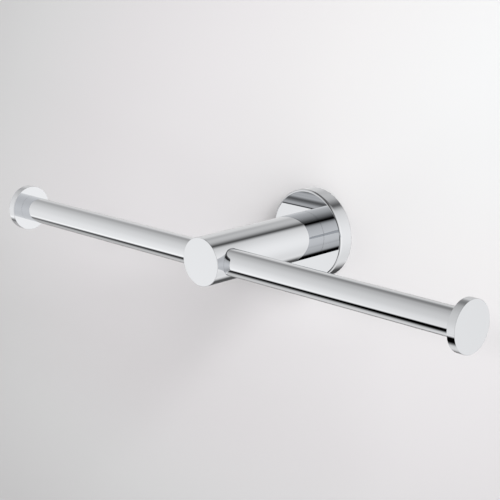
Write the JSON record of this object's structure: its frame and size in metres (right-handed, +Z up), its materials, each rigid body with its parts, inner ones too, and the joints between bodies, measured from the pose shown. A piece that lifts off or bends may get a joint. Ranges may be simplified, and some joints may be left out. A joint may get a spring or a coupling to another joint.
{
  "type": "double toilet roll holder",
  "caption": "Wall-mounted toilet roll holder: a round flange carries a horizontal post with an open-ended arm to each side, each arm ending in a disc.",
  "frame": {"origin": "where the post's axis meets the wall, in the middle of the bracket's back face", "axes": "+X along the arms to the right as seen from the room, +Y into the wall, +Z up"},
  "size_m": [0.3304, 0.1153, 0.0508],
  "materials": {
    "polished_chrome": "mirror-polished chrome plate on brass",
    "zinc_plated_steel": "bright zinc plate on steel",
    "die_cast_zinc": "matt die-cast zinc alloy, left bare",
    "raw_brass": "turned brass, left bare"
  },
  "bodies": {
    "root": {"wall_bracket": "die_cast_zinc", "wall_screw_left": "zinc_plated_steel", "wall_screw_right": "zinc_plated_steel", "flange": "polished_chrome", "grub_screw": "zinc_plated_steel", "post": "polished_chrome", "post_plug": "raw_brass", "post_bolt": "zinc_plated_steel", "post_washer": "zinc_plated_steel", "cross_block": "raw_brass", "cross_stud": "zinc_plated_steel", "arm_left": "polished_chrome", "arm_right": "polished_chrome", "arm_root_plug_left": "raw_brass", "arm_root_plug_right": "raw_brass", "arm_tip_plug_left": "raw_brass", "arm_tip_plug_right": "raw_brass", "cap_stud_left": "zinc_plated_steel", "cap_stud_right": "zinc_plated_steel", "end_cap_left": "polished_chrome", "end_cap_right": "polished_chrome"}
  },
  "joints": []
}
